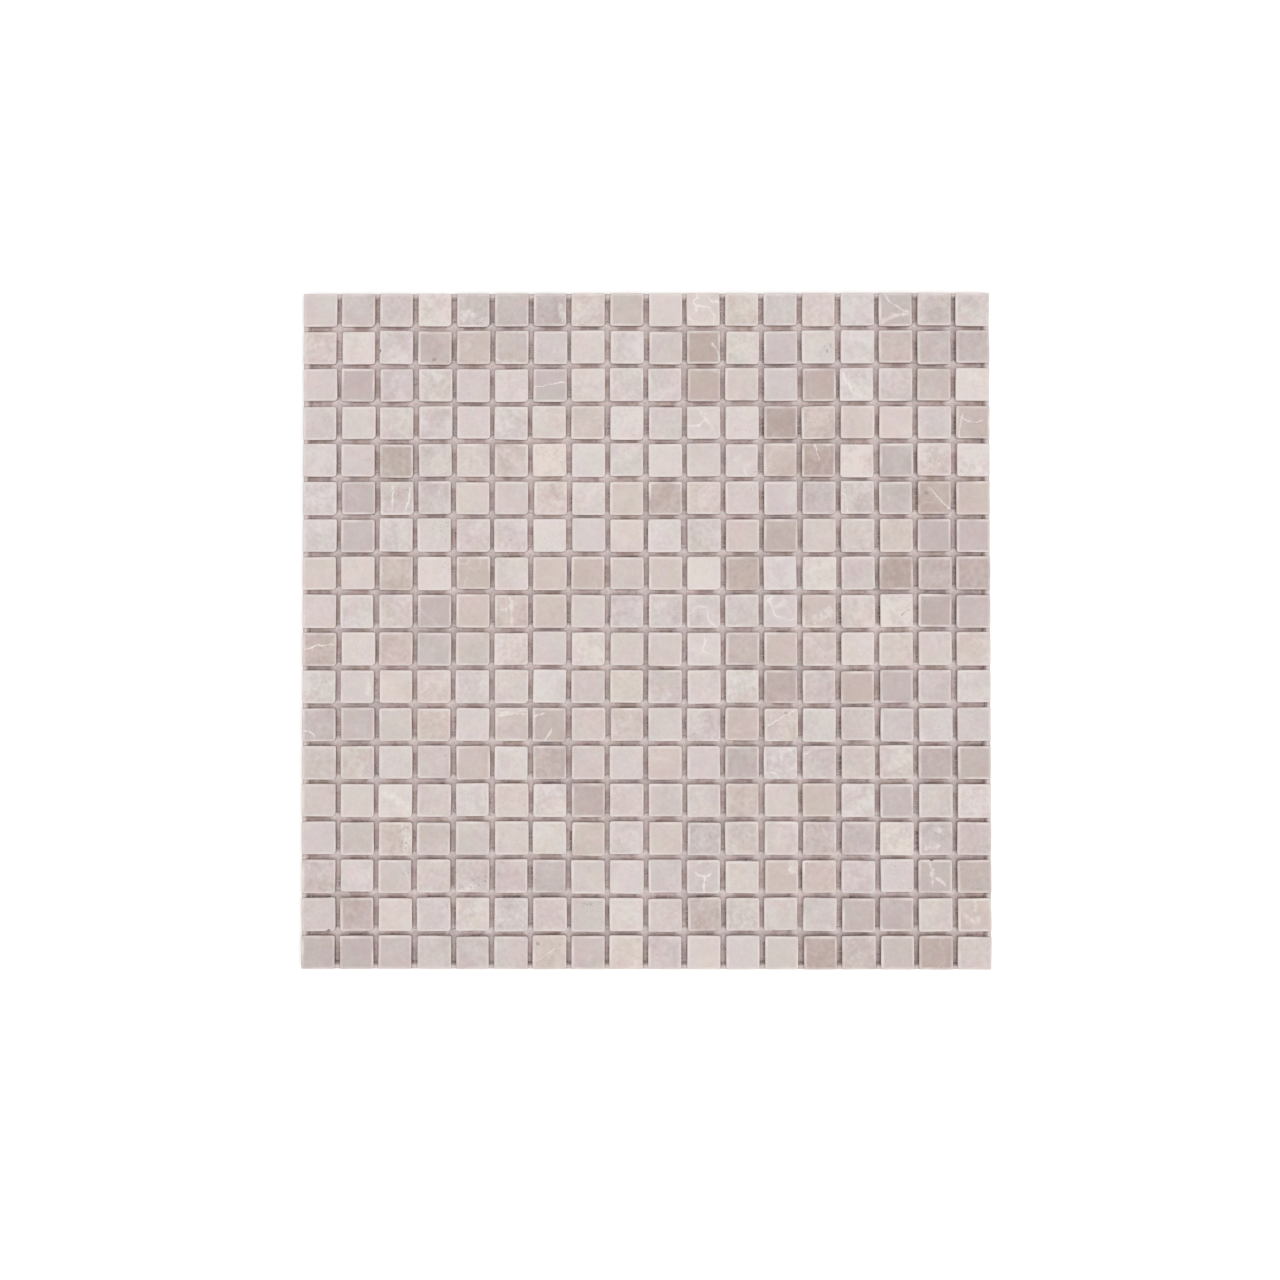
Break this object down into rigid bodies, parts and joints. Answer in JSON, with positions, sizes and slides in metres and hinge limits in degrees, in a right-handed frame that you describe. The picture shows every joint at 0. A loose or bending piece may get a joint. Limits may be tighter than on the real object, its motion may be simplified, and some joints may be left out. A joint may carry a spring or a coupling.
{
  "type": "mosaic tile sheet",
  "caption": "Square sheet of small honed stone chips set in an open grid on a woven glass-fibre net, for bedding in adhesive and grouting.",
  "frame": {"origin": "under the middle of the sheet, on the underside of the net", "axes": "+Z out of the stone face, +X along a row of chips to the right, +Y towards the first row"},
  "size_m": [0.3074, 0.3024, 0.0044],
  "materials": {
    "honed_marble": "honed, matt, from near white through pinkish cream to taupe and grey-brown, with fine pale veins",
    "glass_fibre_net": "white woven glass fibre stiffened with set adhesive"
  },
  "bodies": {
    "root": {"net_weft_threads": "glass_fibre_net", "net_warp_threads": "glass_fibre_net", "chip_row_01": "honed_marble", "chip_row_02": "honed_marble", "chip_row_03": "honed_marble", "chip_row_04": "honed_marble", "chip_row_05": "honed_marble", "chip_row_06": "honed_marble", "chip_row_07": "honed_marble", "chip_row_08": "honed_marble", "chip_row_09": "honed_marble", "chip_row_10": "honed_marble", "chip_row_11": "honed_marble", "chip_row_12": "honed_marble", "chip_row_13": "honed_marble", "chip_row_14": "honed_marble", "chip_row_15": "honed_marble", "chip_row_16": "honed_marble", "chip_row_17": "honed_marble", "chip_row_18": "honed_marble"}
  },
  "joints": []
}
